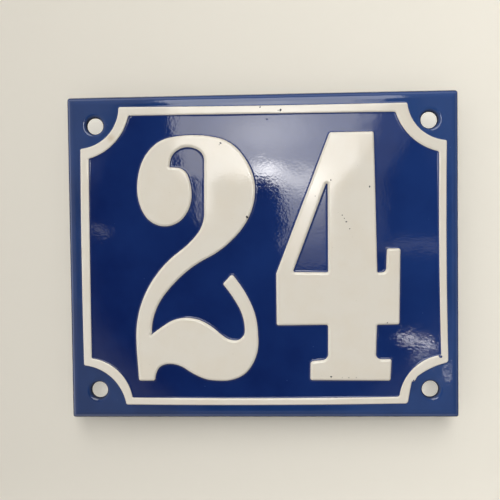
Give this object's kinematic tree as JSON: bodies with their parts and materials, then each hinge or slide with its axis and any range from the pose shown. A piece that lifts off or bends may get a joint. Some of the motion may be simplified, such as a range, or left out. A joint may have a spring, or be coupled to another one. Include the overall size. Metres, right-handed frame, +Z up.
{
  "type": "house number plaque",
  "caption": "Rectangular enamelled steel plaque with a raised house number, a raised border line bent round its corner screw holes, and a turned-back edge.",
  "frame": {"origin": "centre of the pattern of screw holes, on the wall plane that the plaque's rim touches", "axes": "+X to the right as seen from the front, +Z up, the front faces -Y and +Y goes into the wall"},
  "size_m": [0.12, 0.0052, 0.1],
  "materials": {
    "blue_enamel": "gloss",
    "white_enamel": "gloss",
    "back_enamel": "satin"
  },
  "bodies": {
    "root": {"plaque": "blue_enamel"}
  },
  "joints": []
}
